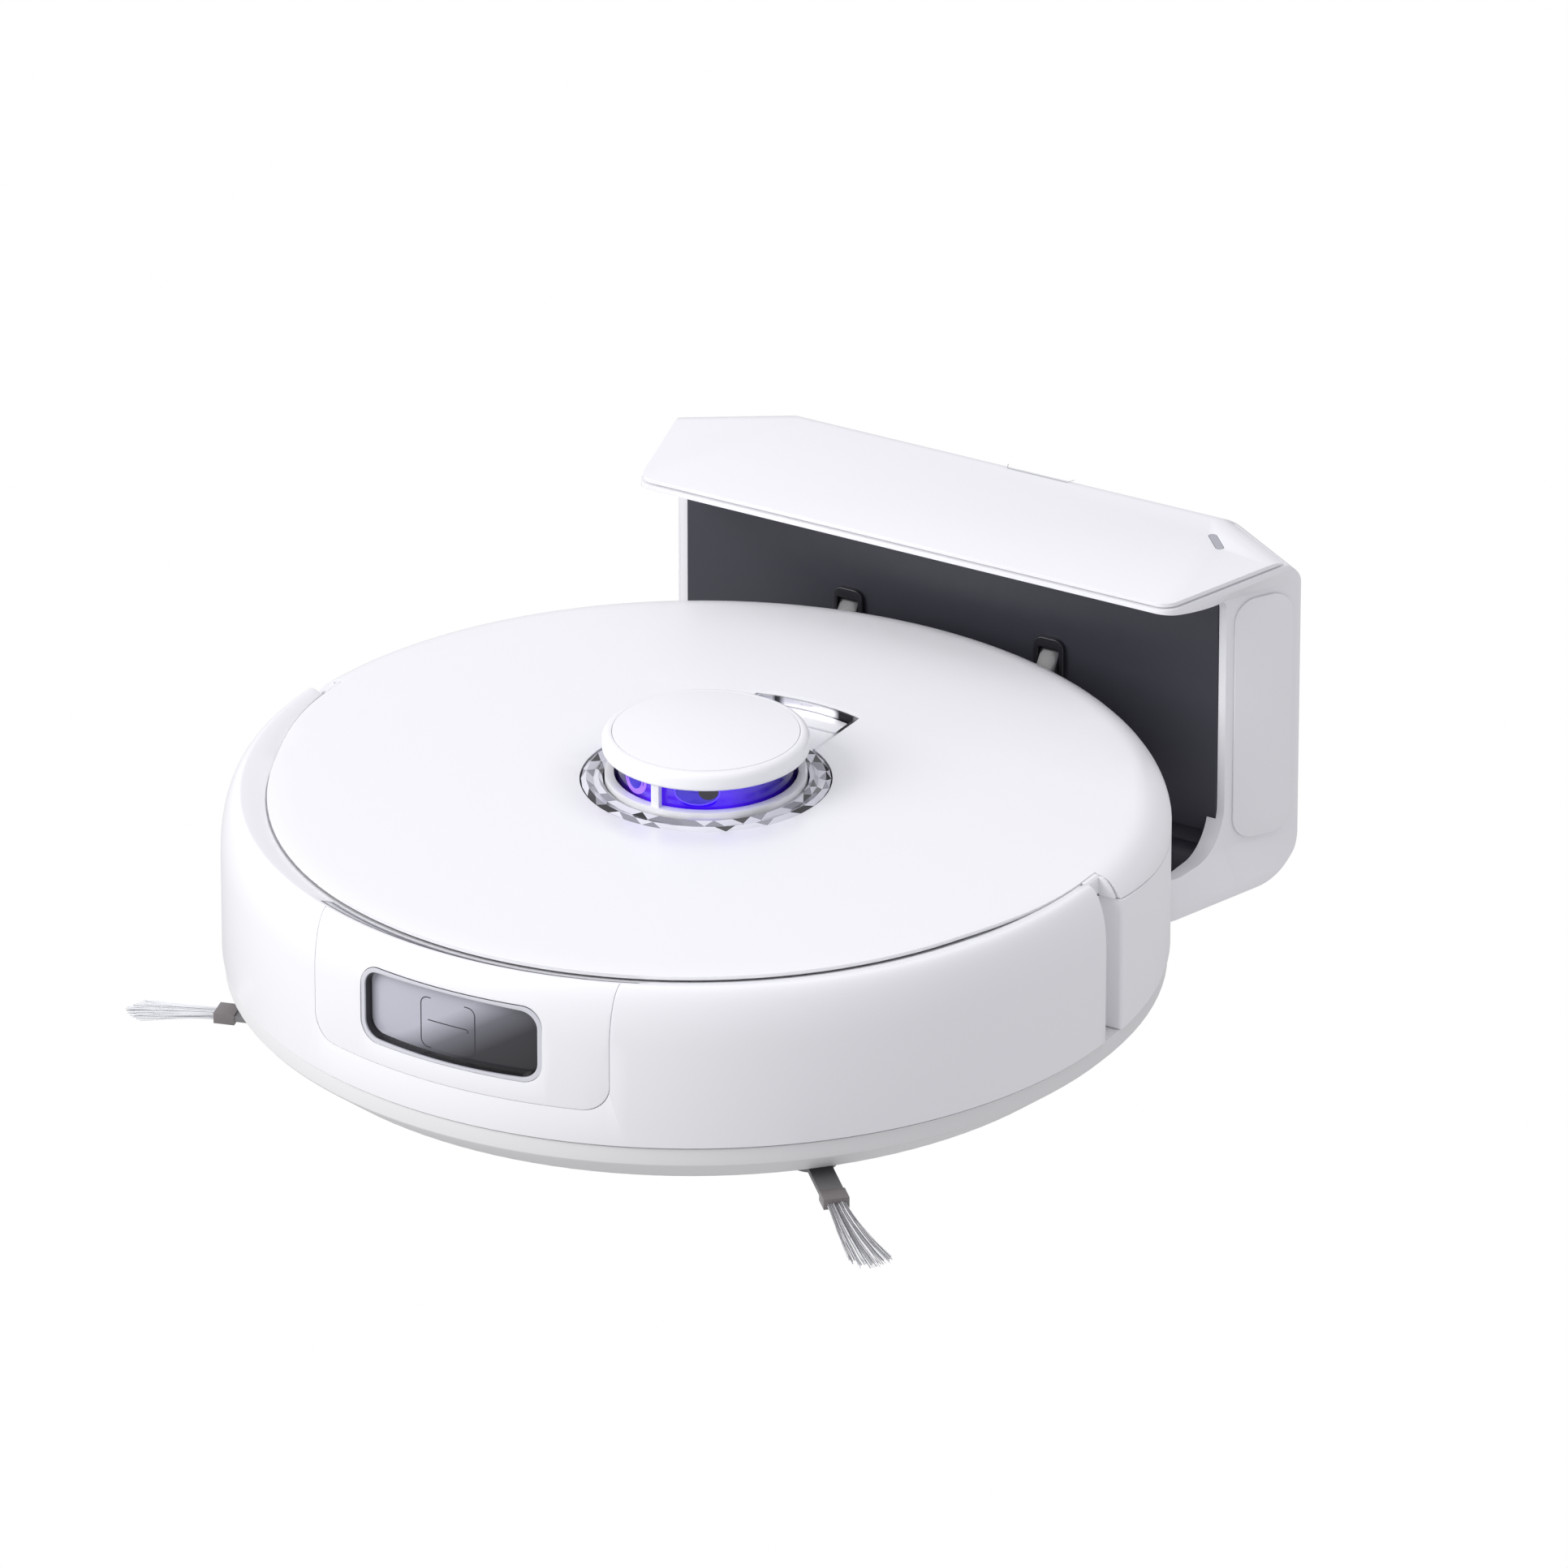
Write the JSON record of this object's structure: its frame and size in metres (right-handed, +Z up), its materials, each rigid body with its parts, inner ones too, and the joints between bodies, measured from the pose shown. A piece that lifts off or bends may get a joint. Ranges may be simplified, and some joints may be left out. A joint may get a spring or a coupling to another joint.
{
  "type": "robot vacuum",
  "caption": "Round robot vacuum with a lidar tower, bumper, lift-off cover, dust bin, drive wheels and brushes, backed into an open-fronted charging dock.",
  "frame": {"origin": "on the floor below the robot's turning centre", "axes": "+Z up; the robot's front faces -Y and the charging dock stands at +Y; +X is to the viewer's right when the robot's front is faced"},
  "size_m": [0.3582, 0.416, 0.133],
  "materials": {
    "white_gloss": "glossy white moulding",
    "cover_white": "satin-gloss white cover",
    "skirt_grey": "satin pale grey",
    "chassis_dark": "matte dark grey moulding",
    "inner_grey": "matte grey inner moulding",
    "smoked_window": "smoked glossy window",
    "bezel_grey": "glossy lilac-grey frame",
    "sensor_black": "gloss black",
    "crystal": "clear faceted plastic",
    "chrome_trim": "polished chrome plating",
    "turret_violet": "violet lit turret",
    "pcb_green": "green circuit board",
    "battery_blue": "blue shrink sleeve",
    "motor_steel": "steel can",
    "screw_steel": "steel",
    "plate_metal": "nickel plated contact",
    "tyre_rubber": "ribbed black rubber",
    "hub_grey": "grey moulded hub",
    "brush_rubber": "grey soft rubber",
    "roller_rubber": "soft rubber fins",
    "bristle_nylon": "pale nylon bristles",
    "filter_paper": "pleated filter paper",
    "bin_clear": "smoked clear plastic",
    "dock_white": "glossy white shell",
    "dock_dark": "satin blue-black liner",
    "contact_dark": "gloss dark contact carrier",
    "light_pipe": "frosted light pipe",
    "foot_rubber": "rubber foot"
  },
  "bodies": {
    "dock": {"dock_shell": "dock_white", "dock_roof": "dock_white", "dock_cheeks": "dock_white", "dock_liner": "dock_dark", "dock_feet": "foot_rubber", "dock_pcb": "pcb_green", "power_inlet": "sensor_black", "led_light_pipe": "light_pipe", "contact_mounts": "contact_dark"},
    "left_contact_finger": {"left_contact": "contact_dark"},
    "right_contact_finger": {"right_contact": "contact_dark"},
    "chassis": {"chassis_base": "chassis_dark", "lower_skirt": "skirt_grey", "rear_side_shell": "white_gloss", "top_deck": "inner_grey", "main_pcb": "pcb_green", "battery_pack": "battery_blue", "battery_door": "chassis_dark", "suction_motor": "chassis_dark", "brush_housing": "inner_grey", "brush_cover": "skirt_grey", "brush_motor": "motor_steel", "side_brush_motors": "motor_steel", "cliff_sensors": "sensor_black", "chassis_screws": "screw_steel", "bumper_switches": "sensor_black", "charge_plates": "plate_metal", "lidar_motor": "chassis_dark", "lidar_housing": "white_gloss", "crystal_ring": "crystal", "button_surround": "chrome_trim"},
    "bumper": {"bumper_shell": "white_gloss", "front_panel": "white_gloss", "top_strip": "smoked_window", "window_bezel": "bezel_grey", "window_glass": "smoked_window", "sensor_module": "sensor_black"},
    "cover": {"top_cover": "cover_white"},
    "bin": {"bin_tub": "bin_clear", "bin_lid": "inner_grey", "bin_filter": "filter_paper"},
    "lidar_guard": {"lidar_cage": "white_gloss", "lidar_cap": "cover_white"},
    "turret": {"lidar_turret": "turret_violet"},
    "button": {"home_button": "cover_white"},
    "left_drive": {"left_drive_module": "chassis_dark"},
    "right_drive": {"right_drive_module": "chassis_dark"},
    "left_wheel": {"left_wheel_hub": "hub_grey", "left_tyre": "tyre_rubber"},
    "right_wheel": {"right_wheel_hub": "hub_grey", "right_tyre": "tyre_rubber"},
    "caster_swivel": {"caster_fork": "chassis_dark"},
    "caster_roller": {"caster_wheel": "hub_grey"},
    "main_brush": {"brush_core": "hub_grey", "brush_fins": "roller_rubber"},
    "left_side_brush": {"left_brush_arms": "brush_rubber", "left_bristles": "bristle_nylon"},
    "right_side_brush": {"right_brush_arms": "brush_rubber", "right_bristles": "bristle_nylon"},
    "fan": {"impeller": "hub_grey"}
  },
  "joints": [
    {"name": "drive_off", "type": "slide", "parent": "dock", "child": "chassis", "axis": [0, -1, 0], "range_m": [0, 0.3]},
    {"name": "left_contact_press", "type": "slide", "parent": "dock", "child": "left_contact_finger", "axis": [0, 1, 0], "range_m": [0, 0.003], "stiffness_N_per_m": 400, "springref_m": -0.002},
    {"name": "right_contact_press", "type": "slide", "parent": "dock", "child": "right_contact_finger", "axis": [0, 1, 0], "range_m": [0, 0.003], "stiffness_N_per_m": 400, "springref_m": -0.002},
    {"name": "bumper_press", "type": "slide", "parent": "chassis", "child": "bumper", "axis": [0, 1, 0], "range_m": [0, 0.0025], "stiffness_N_per_m": 900, "springref_m": -0.003},
    {"name": "cover_lift", "type": "slide", "parent": "chassis", "child": "cover", "axis": [0, 0, 1], "range_m": [0, 0.024]},
    {"name": "bin_lift", "type": "slide", "parent": "chassis", "child": "bin", "axis": [0, 0, 1], "range_m": [0, 0.02]},
    {"name": "guard_press", "type": "slide", "parent": "chassis", "child": "lidar_guard", "axis": [0, 0, -1], "range_m": [0, 0.001], "stiffness_N_per_m": 2500, "springref_m": -0.001},
    {"name": "turret_spin", "type": "hinge", "parent": "chassis", "child": "turret", "pos_m": [0, 0.0095, 0.095], "axis": [0, 0, 1], "continuous": true},
    {"name": "home_press", "type": "slide", "parent": "chassis", "child": "button", "axis": [0, 0, -1], "range_m": [0, 0.0006], "stiffness_N_per_m": 1500, "springref_m": -0.0008},
    {"name": "left_suspension", "type": "hinge", "parent": "chassis", "child": "left_drive", "pos_m": [-0.096, 0.052, 0.04], "axis": [1, 0, 0], "range_deg": [0, 15], "stiffness_Nm_per_rad": 0.4, "springref_deg": 28.65},
    {"name": "right_suspension", "type": "hinge", "parent": "chassis", "child": "right_drive", "pos_m": [0.096, 0.052, 0.04], "axis": [1, 0, 0], "range_deg": [0, 15], "stiffness_Nm_per_rad": 0.4, "springref_deg": 28.65},
    {"name": "left_wheel_spin", "type": "hinge", "parent": "left_drive", "child": "left_wheel", "pos_m": [-0.114, 0.006, 0.032], "axis": [1, 0, 0], "continuous": true},
    {"name": "right_wheel_spin", "type": "hinge", "parent": "right_drive", "child": "right_wheel", "pos_m": [0.114, 0.006, 0.032], "axis": [1, 0, 0], "continuous": true},
    {"name": "caster_turn", "type": "hinge", "parent": "chassis", "child": "caster_swivel", "pos_m": [0, -0.128, 0.012], "axis": [0, 0, 1], "continuous": true},
    {"name": "caster_roll", "type": "hinge", "parent": "caster_swivel", "child": "caster_roller", "pos_m": [0, -0.125, 0.012], "axis": [1, 0, 0], "continuous": true},
    {"name": "main_brush_spin", "type": "hinge", "parent": "chassis", "child": "main_brush", "pos_m": [0, 0.03, 0.0168], "axis": [1, 0, 0], "continuous": true},
    {"name": "left_side_spin", "type": "hinge", "parent": "chassis", "child": "left_side_brush", "pos_m": [-0.106, -0.092, 0.008], "axis": [0, 0, 1], "continuous": true},
    {"name": "right_side_spin", "type": "hinge", "parent": "chassis", "child": "right_side_brush", "pos_m": [0.106, -0.092, 0.008], "axis": [0, 0, 1], "continuous": true},
    {"name": "fan_spin", "type": "hinge", "parent": "chassis", "child": "fan", "pos_m": [-0.082, 0.095, 0.046], "axis": [1, 0, 0], "continuous": true}
  ],
  "couplings": [
    {"joint": "bin_lift", "follows": "cover_lift", "ratio": 0.8333}
  ]
}
